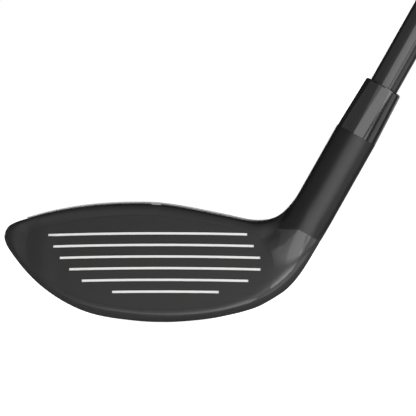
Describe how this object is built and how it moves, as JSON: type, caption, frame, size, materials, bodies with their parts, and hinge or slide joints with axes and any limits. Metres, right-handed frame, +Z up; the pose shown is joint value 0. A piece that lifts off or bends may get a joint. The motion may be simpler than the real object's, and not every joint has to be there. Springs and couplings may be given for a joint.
{
  "type": "hybrid golf club",
  "caption": "Right-handed hybrid golf club with a hollow head, scored face, screw-held adapter sleeve in the hosel, tapered shaft and ribbed rubber grip.",
  "frame": {"origin": "the point of the sole that touches the ground with the club at address", "axes": "+Z up, -Y towards the target (the face looks along -Y), +X from toe to heel; the shaft axis lies in the plane Y = 0 and leans 60.5 degrees from the ground towards +X"},
  "size_m": [0.5827, 0.0579, 0.8787],
  "materials": {
    "head_paint": "black paint, matt on hosel and heel, gloss on sole and rim",
    "face_metal": "satin black, fine brushed",
    "crown_paint": "light grey satin paint",
    "white_paint": "white filling paint",
    "hot_melt": "translucent hot melt",
    "insert_steel": "machined steel",
    "sleeve_aluminium": "dark anodised",
    "ferrule_plastic": "polished black",
    "shaft_graphite": "clear-coated dark graphite",
    "plug_plastic": "moulded",
    "grip_rubber": "textured rubber",
    "tape": "double-sided tape",
    "screw_steel": "plated steel",
    "weight_metal": "dark tungsten alloy",
    "gasket_rubber": "soft rubber"
  },
  "bodies": {
    "head": {"head_body": "head_paint", "face_plate": "face_metal", "score_line_paint": "white_paint", "crown_plate": "crown_paint", "alignment_mark": "white_paint", "hot_melt_pad": "hot_melt", "spline_insert": "insert_steel", "screw_washer": "screw_steel", "screw_retainer": "screw_steel", "weight_gasket": "gasket_rubber"},
    "shaft_assembly": {"adapter_sleeve": "sleeve_aluminium", "ferrule": "ferrule_plastic", "shaft": "shaft_graphite", "shaft_tip_plug": "plug_plastic", "grip_tape": "tape", "grip_sleeve": "grip_rubber", "grip_cap": "grip_rubber"},
    "hosel_screw": {"hosel_screw": "screw_steel"},
    "sole_weight": {"sole_weight": "weight_metal"},
    "weight_screw": {"weight_screw": "screw_steel"}
  },
  "joints": [
    {"name": "hosel_screw_turn", "type": "hinge", "parent": "head", "child": "hosel_screw", "pos_m": [0.04061, 0, 0.02176], "axis": [-0.4924, 0, -0.8704], "range_deg": [0, 3510]},
    {"name": "sleeve_lift", "type": "slide", "parent": "head", "child": "shaft_assembly", "axis": [0.4924, 0, 0.8704], "range_m": [0, 0.0078]},
    {"name": "weight_out", "type": "slide", "parent": "head", "child": "sole_weight", "axis": [0, 0.2371, -0.9715], "range_m": [0, 0.0058]},
    {"name": "weight_screw_turn", "type": "hinge", "parent": "sole_weight", "child": "weight_screw", "pos_m": [-0.002, 0.024, 0.00265], "axis": [0, 0.2371, -0.9715], "range_deg": [0, 2983]}
  ],
  "couplings": [
    {"joint": "hosel_screw_turn", "follows": "sleeve_lift", "rad_per_m": 7854},
    {"joint": "weight_screw_turn", "follows": "weight_out", "rad_per_m": 8976}
  ]
}
